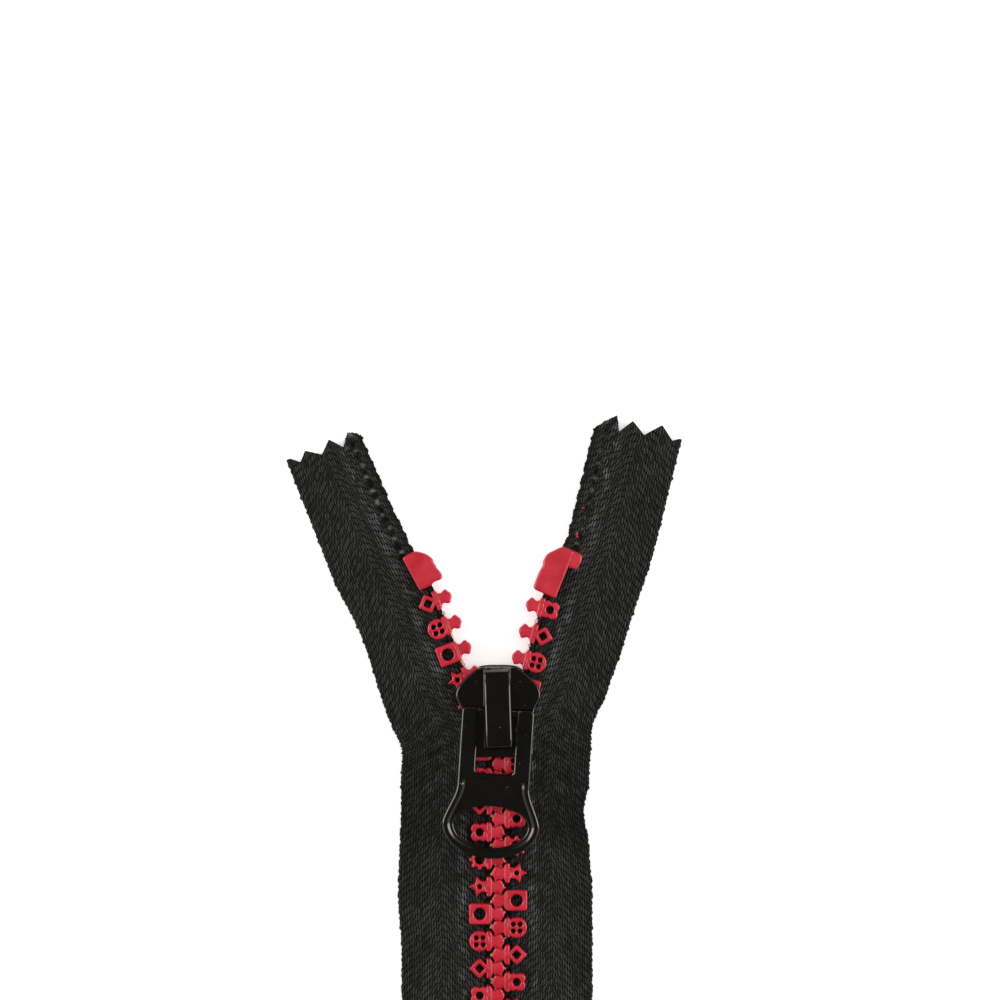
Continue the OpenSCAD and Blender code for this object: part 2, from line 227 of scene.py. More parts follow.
class Shader:
    """A node material under construction, with object coordinates in millimetres."""

    def __init__(self, name, roughness, **values):
        self.material = bpy.data.materials.new(name)
        self.material.use_nodes = True
        self.nodes = self.material.node_tree.nodes
        self.links = self.material.node_tree.links
        self.surface = self.nodes["Principled BSDF"]
        self.surface.inputs["Roughness"].default_value = roughness
        for socket, value in values.items():
            self.surface.inputs[socket.replace("_", " ")].default_value = value
        self.coords = self.nodes.new("ShaderNodeVectorMath")
        self.coords.operation = "SCALE"
        self.coords.inputs["Scale"].default_value = 1 / MM
        self.join(self.nodes.new("ShaderNodeTexCoord").outputs["Object"], self.coords.inputs[0])

    def join(self, output, socket):
        self.links.new(output, socket)

    def noise(self, per_mm, detail=3, roughness=0.55, stretch=None):
        node = self.nodes.new("ShaderNodeTexNoise")
        node.inputs["Scale"].default_value = per_mm
        node.inputs["Detail"].default_value = detail
        node.inputs["Roughness"].default_value = roughness
        source = self.coords.outputs[0]
        if stretch:
            shape = self.nodes.new("ShaderNodeMapping")
            shape.inputs["Scale"].default_value = stretch
            self.join(source, shape.inputs["Vector"])
            source = shape.outputs[0]
        self.join(source, node.inputs["Vector"])
        return node.outputs["Fac"]

    def attribute(self, name):
        node = self.nodes.new("ShaderNodeAttribute")
        node.attribute_name = name
        return node.outputs["Fac"]

    def math(self, operation, *values):
        node = self.nodes.new("ShaderNodeMath")
        node.operation = operation
        for value, socket in zip(values, node.inputs):
            if isinstance(value, (int, float)):
                socket.default_value = value
            else:
                self.join(value, socket)
        return node.outputs[0]

    def wave(self, amount, x, x_turn, y=None, y_turn=0.0):
        """amount times the sine of x_turn x + y_turn y."""
        angle = self.math("MULTIPLY", x, x_turn)
        if y is not None:
            angle = self.math("ADD", angle, self.math("MULTIPLY", y, y_turn))
        return self.math("MULTIPLY", self.math("SINE", angle), amount)

    def random(self, x, y):
        """A random number from 0 to 1, the same for the same x and y."""
        pair = self.nodes.new("ShaderNodeCombineXYZ")
        self.join(x, pair.inputs[0])
        self.join(y, pair.inputs[1])
        node = self.nodes.new("ShaderNodeTexWhiteNoise")
        node.noise_dimensions = "2D"
        self.join(pair.outputs[0], node.inputs["Vector"])
        return node.outputs["Value"]

    def span(self, value, low, high, to_low=0.0, to_high=1.0):
        """value carried from low..high to to_low..to_high, and held at both ends."""
        node = self.nodes.new("ShaderNodeMapRange")
        node.inputs["From Min"].default_value = low
        node.inputs["From Max"].default_value = high
        node.inputs["To Min"].default_value = to_low
        node.inputs["To Max"].default_value = to_high
        self.join(value, node.inputs["Value"])
        return node.outputs[0]

    def mix(self, factor, a, b):
        node = self.nodes.new("ShaderNodeMix")
        node.data_type = "RGBA"
        self.join(factor, node.inputs["Factor"])
        for value, socket in ((a, node.inputs["A"]), (b, node.inputs["B"])):
            if isinstance(value, tuple):
                socket.default_value = (*value, 1)
            else:
                self.join(value, socket)
        return node.outputs["Result"]

    def color(self, output):
        self.join(output, self.surface.inputs["Base Color"])

    def rough(self, output):
        self.join(output, self.surface.inputs["Roughness"])

    def bump(self, height, distance_mm, strength=1.0):
        """Adds a bump on top of those that the surface already has."""
        node = self.nodes.new("ShaderNodeBump")
        node.inputs["Strength"].default_value = strength
        node.inputs["Distance"].default_value = distance_mm * MM
        self.join(height, node.inputs["Height"])
        previous = self.surface.inputs["Normal"]
        if previous.is_linked:
            self.join(previous.links[0].from_socket, node.inputs["Normal"])
        self.join(node.outputs[0], previous)


def red_plastic():
    s = Shader("red_acetal", 0.36, IOR=1.45, Specular_IOR_Level=0.7, Coat_Weight=0.3,
               Coat_Roughness=0.15)
    cloud = s.noise(0.35, 4)
    s.color(s.mix(s.span(cloud, 0.35, 0.65), (0.45, 0.006, 0.018), (0.56, 0.015, 0.035)))
    s.rough(s.span(s.noise(0.5, 2), 0.3, 0.7, 0.26, 0.36))
    s.bump(s.noise(3, 2, 0.5), 0.004, 0.5)
    s.bump(s.noise(0.9, 2), 0.03, 0.35)
    return s.material


def woven_cloth():
    """Black herringbone that follows the yarns modelled in tape_mesh by their own coordinates, with
    painted glints, painted highlights and shade on the loose loops, and painted shade beside the slider.
    """
    s = Shader("black_herringbone", 0.6, IOR=1.4, Specular_IOR_Level=0.2)
    u, v = s.attribute("across"), s.attribute("along")
    wobble = s.math("ADD", *(s.wave(amount, v, along, u, across) for amount, along, across in WOBBLE))
    yarn_at = s.math("DIVIDE", s.math("ADD", s.math("SUBTRACT", u, CORD_X), wobble), YARN_W)
    yarn = s.math("FLOOR", yarn_at)
    lean = s.span(s.math("LESS_THAN", u, ZONE_U), 0, 1, 1, -1)
    step = s.math("MULTIPLY", s.math("MULTIPLY", yarn, lean), YARN_SHIFT)
    stray = s.math("ADD", *(s.wave(amount, yarn, turn) for amount, turn in STRAY))
    stray = s.math("ADD", stray, s.wave(UNEVEN, v, UNEVEN_ALONG, yarn, UNEVEN_YARN))
    float_at = s.math("ADD", s.math("ADD", s.math("DIVIDE", v, YARN_STEP), step), stray)
    along = s.math("SUBTRACT", s.math("FRACT", float_at), 0.5)
    tilt = s.math("MULTIPLY", s.math("MULTIPLY", along, lean), YARN_TILT)
    across = s.math("ADD", s.math("SUBTRACT", s.math("FRACT", yarn_at), 0.5), tilt)
    side = s.span(s.math("ABSOLUTE", across), 0.05, 0.4, 1, 0)
    end = s.span(s.math("ABSOLUTE", along), 0.3, 0.49, 1, 0.3)
    luck = s.span(s.random(yarn, s.math("FLOOR", float_at)), 0, 1, 0.35, 1.0)
    threads = s.math("MULTIPLY", s.math("MULTIPLY", side, end), luck)
    # painted highlight on the crowns of the loose loops and painted shade in the pits between them, taken
    # from the loops' modelled height
    loop = s.attribute("loop")
    threads = s.math("ADD", threads, s.span(loop, 0.2, 0.75, 0, 0.8))
    threads = s.math("MULTIPLY", threads, s.span(loop, -0.5, -0.1, 0.15, 1))
    threads = s.math("MULTIPLY", threads, s.span(u, 2.2, 3.2, 0.35, 1))
    patch = s.span(s.noise(0.11, 4), 0.35, 0.65)
    # painted glints: a bright band along the tape 5.6 mm across, and a glinting patch on the cloth beside
    # the slider, both broken up by noise
    shine = s.span(s.math("ABSOLUTE", s.math("SUBTRACT", u, 5.6)), 0.2, 1.3, 1, 0)
    slider_glint_share = s.span(s.math("ABSOLUTE", s.math("ADD", v, 3.0)), 3, 17, 0.2, 0)
    shine = s.math("MAXIMUM", shine, slider_glint_share)
    glints = s.math("MULTIPLY", shine, s.span(s.noise(0.5, 4), 0.42, 0.62))
    lit = s.mix(patch, (0.046, 0.045, 0.039), (0.059, 0.057, 0.049))
    # painted shade: the cloth beside and below the slider is darkened
    shaded = s.span(s.math("ABSOLUTE", s.math("ADD", v, 9)), 6, 20, 0.8, 0)
    lit = s.mix(shaded, lit, (0.026, 0.025, 0.022))
    lit = s.mix(glints, lit, (0.17, 0.17, 0.175))
    # painted highlight: the crowns of the loose loops are lightened
    lit = s.mix(s.span(loop, 0.2, 0.9), lit, (0.12, 0.12, 0.125))
    s.color(s.mix(threads, (0.0012, 0.0012, 0.0009), lit))
    s.rough(s.span(threads, 0, 1, 0.8, 0.42))
    s.bump(threads, 0.05, 0.6)
    s.bump(s.noise(9, 2, stretch=(3, 0.35, 1)), 0.02, 0.5)
    return s.material


def black_enamel():
    """Gloss black, nearly metallic so that it stays black at low angles, with specks of dust."""
    s = Shader("black_enamel", 0.12, Metallic=0.95, Specular_Tint=(0.4, 0.4, 0.4, 1))
    grime = s.span(s.noise(0.25, 4), 0.4, 0.7)
    base = s.mix(grime, (0.072, 0.068, 0.062), (0.090, 0.085, 0.078))
    speck = s.span(s.noise(1.5, 1), 0.775, 0.79)
    s.color(s.mix(speck, base, (0.9, 0.87, 0.83)))
    s.rough(s.span(s.noise(0.6, 5), 0.3, 0.7, 0.07, 0.16))
    s.bump(s.noise(1.1, 3), 0.01, 0.2)
    return s.material


def worn_edge():
    s = Shader("worn_edge", 0.45, IOR=1.5)
    s.color(s.mix(s.span(s.noise(2.5, 4), 0.38, 0.58), (0.012, 0.009, 0.007), (0.24, 0.13, 0.085)))
    s.rough(s.span(s.noise(3, 3), 0.3, 0.7, 0.35, 0.6))
    return s.material


def spring_steel():
    s = Shader("spring_steel", 0.3, Metallic=1.0)
    s.color(s.mix(s.noise(1.2, 4, stretch=(6, 0.5, 1)), (0.42, 0.41, 0.39), (0.62, 0.61, 0.59)))
    s.rough(s.span(s.noise(3, 3, stretch=(8, 0.5, 1)), 0.3, 0.7, 0.22, 0.42))
    s.bump(s.noise(6, 2, stretch=(8, 0.4, 1)), 0.01, 0.4)
    return s.material


def cream_core():
    s = Shader("cream_core", 0.85, Sheen_Weight=0.2)
    s.color(s.mix(s.noise(3.5, 3), (0.45, 0.31, 0.15), (0.80, 0.62, 0.36)))
    s.bump(s.noise(9, 2), 0.04, 0.8)
    return s.material


def loose_fibre():
    s = Shader("loose_fibre", 0.7)
    s.color(s.mix(s.noise(2, 2), (0.012, 0.012, 0.011), (0.05, 0.05, 0.047)))
    return s.material


def pale_floor():
    s = Shader("pale_floor", 0.85, Emission_Strength=0.4)
    s.color(s.mix(s.noise(0.02, 2), (0.93, 0.93, 0.93), (0.95, 0.95, 0.95)))
    return s.material


# ---- outlines and solids ----

def arc(cx, cy, radius, start, end, steps):
    angles = [math.radians(start + (end - start) * i / steps) for i in range(steps + 1)]
    return [(cx + radius * math.cos(a), cy + radius * math.sin(a)) for a in angles]


def polar(radius_at, steps):
    turns = [2 * math.pi * i / steps for i in range(steps)]
    return [(radius_at(a) * math.cos(a), radius_at(a) * math.sin(a)) for a in turns]


def both_sides(half):
    """The outline that a right-hand half makes with its mirror image in the Y axis."""
    return half + [(-x, y) for x, y in reversed(half) if abs(x) > 1e-6]


def shifted(loop, dx, dy):
    return [(x + dx, y + dy) for x, y in loop]


def rounded(points, radius, steps=3):
    """The same outline with its corners eased over at most radius along each side."""
    out = []
    for i, corner in enumerate(points):
        p, c, n = (np.array(points[i - 1]), np.array(corner),
                   np.array(points[(i + 1) % len(points)]))
        before, after = p - c, n - c
        reach_b = min(radius, 0.45 * np.linalg.norm(before))
        reach_a = min(radius, 0.45 * np.linalg.norm(after))
        a = c + before / np.linalg.norm(before) * reach_b
        b = c + after / np.linalg.norm(after) * reach_a
        for k in range(steps + 1):
            t = k / steps
            out.append(tuple((1 - t) ** 2 * a + 2 * t * (1 - t) * c + t * t * b))
    return out


def turned_ccw(loop):
    area = sum(x0 * y1 - x1 * y0 for (x0, y0), (x1, y1) in zip(loop, loop[1:] + loop[:1]))
    return loop if area > 0 else loop[::-1]


def inset_loop(loop, distance):
    """The loop moved towards its left by distance, along the bisectors of its corners."""
    p = np.array(loop, float)
    edge = np.roll(p, -1, 0) - p
    edge /= np.maximum(np.linalg.norm(edge, axis=1), 1e-9)[:, None]
    left = np.stack([-edge[:, 1], edge[:, 0]], 1)
    both = left + np.roll(left, 1, 0)
    scale = np.maximum((both * both).sum(1) / 2, 0.35)
    return p + both / scale[:, None] * distance


class Solid:
    """Vertices and faces in millimetres, gathered from several closed shapes."""

    def __init__(self):
        self.points, self.faces, self.count = [], [], 0

    def add(self, points, faces):
        self.points.append(np.asarray(points, float))
        self.faces += [tuple(i + self.count for i in f) for f in faces]
        self.count += len(points)

    def all_points(self):
        return np.concatenate(self.points)

    def plate(self, outer, z0, z1, bevel=0.2, holes=(), steps=3, move=None):
        """A flat moulding from z0 to z1 with rounded edges, whose outline may have holes."""
        loops = [turned_ccw(list(outer))] + [turned_ccw(list(h))[::-1] for h in holes]
        size = sum(len(loop) for loop in loops)
        rings, heights = [], []
        for k in range(steps + 1):
            a = math.pi / 2 * (1 - k / steps)
            rings.append(bevel * (1 - math.cos(a)))
            heights.append(z0 + bevel * (1 - math.sin(a)))
        levels = list(zip(rings, heights))
        levels += [(r, z0 + z1 - z) for r, z in reversed(levels)]
        points, faces = [], []
        for inset, z in levels:
            for loop in loops:
                flat = inset_loop(loop, inset)
                points.append(np.column_stack([flat, np.full(len(flat), z)]))
        starts = np.cumsum([0] + [len(loop) for loop in loops])
        for level in range(len(levels) - 1):
            for loop, start in zip(loops, starts):
                n = len(loop)
                for i in range(n):
                    j = (i + 1) % n
                    a, b = level * size + start + i, level * size + start + j
                    faces.append((a, b, b + size, a + size))
        points = np.concatenate(points)
        ends = []
        at = 0
        for loop in loops:
            ends.append([Vector(p) for p in points[at:at + len(loop)]])
            at += len(loop)
        top = (len(levels) - 1) * size
        for tri in tessellate_polygon(ends):
            a, b, c = (points[i][:2] for i in tri)
            if (b[0] - a[0]) * (c[1] - a[1]) - (b[1] - a[1]) * (c[0] - a[0]) < 0:
                tri = tri[::-1]
            faces.append(tuple(reversed(tri)))
            faces.append(tuple(i + top for i in tri))
        if move is not None:
            points = moved(points, move)
        self.add(points, faces)

    def slope(self, loop, start, top, depth, radius, steps=6, move=None):
        """The rounded way down from a recess's brim to its floor, inside a closed loop."""
        last = math.acos(1 - (depth + 0.02) / radius)
        turns = [last * k / steps for k in range(steps + 1)]
        levels = [(start + radius * math.sin(a), top - radius * (1 - math.cos(a))) for a in turns]
        levels += [(levels[-1][0], top - depth - 0.1), (start, top - depth - 0.1)]
        loop = turned_ccw(list(loop))
        n, total = len(loop), len(loop) * len(levels)
        points = np.concatenate([np.column_stack([inset_loop(loop, inset), np.full(n, z)])
                                 for inset, z in levels])
        faces = []
        for level in range(len(levels)):
            for i in range(n):
                a, b = level * n + i, level * n + (i + 1) % n
                faces.append((a, b, (b + n) % total, (a + n) % total))
        self.add(moved(points, move), faces)

    def ball(self, centre, radii, across=10, rings=6):
        points, faces = [(0, 0, -1)], []
        for i in range(1, rings):
            lat = -math.pi / 2 + math.pi * i / rings
            for k in range(across):
                lon = 2 * math.pi * k / across
                points.append((math.cos(lat) * math.cos(lon), math.cos(lat) * math.sin(lon),
                               math.sin(lat)))
        points.append((0, 0, 1))
        last = len(points) - 1
        for k in range(across):
            n = (k + 1) % across
            faces.append((0, 1 + n, 1 + k))
            base = 1 + (rings - 2) * across
            faces.append((last, base + k, base + n))
            for i in range(rings - 2):
                a = 1 + i * across
                faces.append((a + k, a + n, a + across + n, a + across + k))
        self.add(np.array(points) * np.array(radii) + np.array(centre), faces)


def moved(points, matrix):
    """The points carried by a 4 x 4 matrix."""
    m = np.array(matrix, float)
    return points @ m[:3, :3].T + m[:3, 3]


def mirrored(faces):
    return [tuple(reversed(f)) for f in faces]


def make_piece(name, solid, material, smooth_angle=50, weighted=True):
    mesh = bpy.data.meshes.new(name)
    points = solid.all_points() * MM
    mesh.from_pydata(points.tolist(), [], solid.faces)
    mesh.polygons.foreach_set("use_smooth", [True] * len(mesh.polygons))
    mesh.set_sharp_from_angle(angle=math.radians(smooth_angle))
    mesh.materials.append(material)
    piece = bpy.data.objects.new(name, mesh)
    bpy.context.scene.collection.objects.link(piece)
    if weighted:
        normals = piece.modifiers.new("flat_faces_first", "WEIGHTED_NORMAL")
        normals.keep_sharp = True
    return piece


# ---- teeth ----

ORNAMENT_X = 1.32
ORNAMENT_END = 4.8
ORNAMENT_MID = (ORNAMENT_X + ORNAMENT_END) / 2
ORNAMENT_HALF = (ORNAMENT_END - ORNAMENT_X) / 2
ORNAMENT_LEN = 3.4


def circle(cx, cy, radius, steps=24):
    return arc(cx, cy, radius, 0, 360 - 360 / steps, steps - 1)


def ornament_loops(kind):
    """Outer loop and holes of one openwork ornament, about its own middle."""
    half = ORNAMENT_LEN / 2
    if kind == "square":
        box = [(-ORNAMENT_HALF, -half), (ORNAMENT_HALF, -half), (ORNAMENT_HALF, half),
               (-ORNAMENT_HALF, half)]
        return rounded(box, 0.45), [circle(0, 0, 1)]
    if kind == "button":
        eye_out, eye_r = 0.78, 0.4
        turns = [math.pi / 4 + math.pi / 2 * i for i in range(4)]
        return circle(0, 0, half, 40), [
            circle(eye_out * math.cos(a), eye_out * math.sin(a), eye_r, 16) for a in turns]
    if kind == "diamond":
        outer = [(-ORNAMENT_HALF, 0), (0, -half), (ORNAMENT_HALF, 0), (0, half)]
        window = 0.48
        return rounded(outer, 0.35), [rounded([(x * window, y * window) for x, y in outer], 0.2)]
    if kind == "clover":
        def lobes(a, d=0.85, r=0.85):
            b = (a % (math.pi / 2)) - math.pi / 4
            return d * math.cos(b) + math.sqrt(max(r * r - (d * math.sin(b)) ** 2, 0))
        return polar(lobes, 64), [circle(0, 0, 0.65)]
    if kind == "cog":
        def cogs(a):
            count, depth = 8, 0.2
            return half - depth + depth * math.tanh(3 * math.cos(count * a))
        return polar(cogs, 96), [circle(0, 0, 0.8)]
    tip, valley = half + 0.1, half * 0.52
    radii = [valley if i % 2 else tip for i in range(10)]
    star = [(r * math.cos(math.pi / 5 * i), r * math.sin(math.pi / 5 * i))
            for i, r in enumerate(radii)]
    return rounded(star, 0.22), [circle(0, 0, 0.4, 16)]


def tooth_solid(kind):
    """One tooth of the right-hand tape about its own origin, z = 0 at the tape's middle."""
    solid = Solid()
    half_head = [(-1.04, 0.35), (-0.79, 0.62), (-0.56, 1.1), (-0.26, 1.22), (0.04, 1.1),
                 (0.53, 0.8), (0.9, 1.0), (1.5, 1.0)]
    head = half_head + [(x, -y) for x, y in reversed(half_head)]
    solid.plate(rounded(head, 0.28), -TOOTH_HALF + 0.04, TOOTH_HALF - 0.06, 0.3)
    base = [(0.95, 1.1), (1.27, 1.65), (1.95, 1.65), (1.95, -1.65), (1.27, -1.65), (0.95, -1.1)]
    solid.plate(rounded(base, 0.25), -TOOTH_HALF, TOOTH_HALF, 0.27)
    outer, holes = ornament_loops(kind)
    solid.plate(shifted(outer, ORNAMENT_MID, 0), 0.05, TOOTH_HALF + 0.07, 0.24,
                [shifted(h, ORNAMENT_MID, 0) for h in holes])
    bridge = [(1.2, -0.6), (2.1, -0.6), (2.1, 0.6), (1.2, 0.6)]
    solid.plate(bridge, 0.05, TOOTH_HALF + 0.03, 0.15)
    back = [(1.3, -1.3), (3.7, -1.3), (3.7, 1.3), (1.3, 1.3)]
    solid.plate(rounded(back, 0.5), -TOOTH_HALF, 0, 0.22)
    return solid


TEETH = {kind: tooth_solid(kind) for kind in KINDS}


def side_matrix(side):
    """From the right-hand side's own frame to the model, mirrored for the left-hand side."""
    return Matrix.Diagonal((SIDES[side], 1, 1, 1)) @ Matrix.Translation((0, 0, MID_Z))


def arm_matrix(side):
    turn = Matrix.Rotation(-ANGLE[side], 4, "Z")
    return side_matrix(side) @ Matrix.Translation((0, BEND_Y, 0)) @ turn


def add_placed(target, solid, matrix):
    faces = solid.faces if matrix.determinant() > 0 else mirrored(solid.faces)
    target.add(moved(solid.all_points(), matrix), faces)


def teeth_piece(node, places, material, body):
    """One piece for a CAD node of teeth: places are pairs of ornament kind and matrix."""
    solid = Solid()
    for kind, matrix in places:
        add_placed(solid, TEETH[kind], matrix)
    piece = make_piece(node + "_moulded", solid, material)
    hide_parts(node)
    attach(piece, body)


def make_teeth(material):
    for side in SIDES:
        along = side_matrix(side)
        for first, kind in enumerate(KINDS):
            rows = range(first, LOWER_TEETH, len(KINDS))
            places = [(kind, along @ Matrix.Translation((0, BEND_Y + PHASE[side] - PITCH * i, 0)))
                      for i in rows]
            teeth_piece(f"{side}_{kind}_teeth", places, material, side + "_lower")
        end = Matrix.Translation((0, BEND_Y + PHASE[side] - PITCH * LOWER_TEETH, 0))
        teeth_piece(side + "_end_tooth", [(KINDS[LOWER_TEETH % len(KINDS)], along @ end)],
                    material, "root")
        for i in range(1, ARM_TEETH[side] + 1):
            s = PHASE[side] + PITCH * i
            press = max(0, 1 - s / CHANNEL_REACH)
            own = (Matrix.Translation((-CHANNEL_PUSH * press, s, 0))
                   @ Matrix.Rotation(ANGLE[side] * press * CHANNEL_TURN, 4, "Z"))
            kind = KINDS[(i + FIRST_KIND[side]) % len(KINDS)]
            teeth_piece(f"{side}_tooth_{i}", [(kind, arm_matrix(side) @ own)], material,
                        side + "_arm")


# ---- stops ----

STOP_S = {"left": 30, "right": 28.4}
STOP_OUT = 1.9
STOP_LEAN = math.radians(7)


def stop_matrix(side):
    return (arm_matrix(side) @ Matrix.Translation((STOP_OUT, STOP_S[side], 0))
            @ Matrix.Rotation(-STOP_LEAN, 4, "Z"))


def make_stops(material):
    """The two unlike top stops, with the small swellings of their mouldings, and the bottom stop."""
    left = Solid()
    outline = [(2.05, -3.2), (2.05, 3), (-0.2, 3.05), (-1.3, 2.2), (-2, 1.3), (-2.35, 0.4),
               (-2.15, -0.2), (-2.25, -0.8), (-2.15, -1.15), (-2.4, -1.9), (-2.45, -2.7),
               (-2.05, -3.2), (-0.7, -3), (-0.1, -3.3)]
    left.plate(rounded(outline, 0.38), -TOOTH_HALF, TOOTH_HALF, 0.34)
    right = Solid()
    block = [(2.1, -4.3), (2.1, 4.2), (0, 4.2), (-1.5, 2.6), (-2, 1.95), (-2.15, 0.6),
             (-1.87, 0.1), (-2.1, -1.3), (-2.05, -3.9), (-1.6, -4.2)]
    right.plate(rounded(block, 0.4), -TOOTH_HALF, TOOTH_HALF, 0.36)
    ear = [(1.4, 1.25), (3.6, 1.4), (3.8, 3.2), (3.45, 4), (2.9, 4.15), (1.4, 4.15)]
    right.plate(rounded(ear, 0.55), 0.05, TOOTH_HALF - 0.22, 0.3)
    for side, solid in (("left", left), ("right", right)):
        placed = Solid()
        add_placed(placed, solid, stop_matrix(side))
        piece = make_piece(side + "_stop_moulded", placed, material)
        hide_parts(side + "_top_stop")
        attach(piece, side + "_arm")
    low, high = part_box("bottom_stop")
    y0, y1 = low.y / MM, high.y / MM
    bottom = Solid()
    body = [(-4.75, y0), (4.75, y0), (4.75, y1), (-4.75, y1)]
    bottom.plate(rounded(body, 0.8), MID_Z - TOOTH_HALF, MID_Z + TOOTH_HALF, 0.35)
    for y in (y0 + 1.5, y0 + 3, y0 + 4.5):
        rib = [(-3.6, y - 0.35), (3.6, y - 0.35), (3.6, y + 0.35), (-3.6, y + 0.35)]
        bottom.plate(rounded(rib, 0.3), MID_Z + TOOTH_HALF - 0.5, MID_Z + TOOTH_HALF + 0.14, 0.12)
    piece = make_piece("bottom_stop_moulded", bottom, material)
    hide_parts("bottom_stop")
    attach(piece, "root")


# ---- tapes ----

def smoothstep(t):
    t = np.clip(t, 0, 1)
    return t * t * (3 - 2 * t)


def eased(v, points):
    """A smooth curve through given points, level beyond the first and the last."""
    at = np.array([p[0] for p in points], float)
    amount = np.array([p[1] for p in points], float)
    i = np.clip(np.searchsorted(at, v) - 1, 0, len(at) - 2)
    t = smoothstep((v - at[i]) / (at[i + 1] - at[i]))
    return amount[i] + (amount[i + 1] - amount[i]) * t


def waves(table, x):
    return sum(amount * np.sin(turn * x + start) for amount, turn, start in table)


def crossed_waves(table, u, v):
    return sum(amount * np.sin(along * v + across * u) for amount, along, across in table)


def weave_height(u, v, back):
    """Height of the herringbone yarns, 0 in the gaps and 1 on the crowns. v runs along the tape."""
    yarn_at = (u - CORD_X + crossed_waves(WOBBLE, u, v)) / YARN_W
    yarn = np.floor(yarn_at + 1e-6)
    across = yarn_at - yarn - 0.5
    lean = np.where((u < ZONE_U) != back, -1, 1)
    stray = sum(amount * np.sin(yarn * turn) for amount, turn in STRAY)
    stray += UNEVEN * np.sin(UNEVEN_ALONG * v + UNEVEN_YARN * yarn)
    float_at = v / YARN_STEP + lean * yarn * YARN_SHIFT + stray
    along = float_at - np.floor(float_at) - 0.5
    side = np.clip((0.5 - np.abs(across + along * lean * YARN_TILT)) / 0.32, 0, 1)
    return side * np.clip((0.5 - np.abs(along)) / 0.2, 0.45, 1)


def bare_share(side, v):
    """1 where the inner strip has no teeth or stops on it, 0 elsewhere. v is measured from the bend."""
    above = smoothstep((v - STOP_S[side] - 1.3) / 1.5)
    below = smoothstep((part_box("bottom_stop")[0].y / MM - BEND_Y - v - 0.5) / 1.5)
    return above + below


def tape_height(side, u, v, narrowed):
    """Height of the cloth's middle: it sags to the table, where it rests, and ripples and folds."""
    out = np.clip((u - SAG_U) / (TAPE_EDGE - SAG_U), 0, 1)
    shift = RIPPLE_SHIFT[side]
    sag = -SAG * smoothstep(out * 1.1)
    ripple = out * sum(amount * np.sin(2 * np.pi * v / length + start + shift)
                       for amount, length, start in RIPPLES)
    pucker = out ** 2 * PUCKER * np.exp(-((v - PUCKER_V) / PUCKER_REACH) ** 2)
    crinkle = CRINKLE * np.sin(1.5 * v + 0.9 * u)
    pucker += crinkle * np.sin(np.pi * out) * np.exp(-(v / CRINKLE_REACH) ** 2)
    crest = CREST * np.exp(-((u - CREST_U) / CREST_REACH) ** 2)
    fold = FOLD * np.maximum(0, -narrowed - FOLD_FROM) * out ** 1.5
    drooping = (smoothstep((v - TOP_DROOP_V) / TOP_DROOP_LEN)
                + smoothstep((LOW_DROOP_V - v) / LOW_DROOP_LEN))
    height = MID_Z + sag + ripple + pucker + crest + fold - DROOP * drooping * (1 - out * 0.5)
    # a soft floor, so that the cloth comes to rest on the table and never enters it
    lowest, softness = TAPE_HALF_T + 0.2, 0.5
    return (height + lowest + np.sqrt((height - lowest) ** 2 + softness ** 2)) / 2


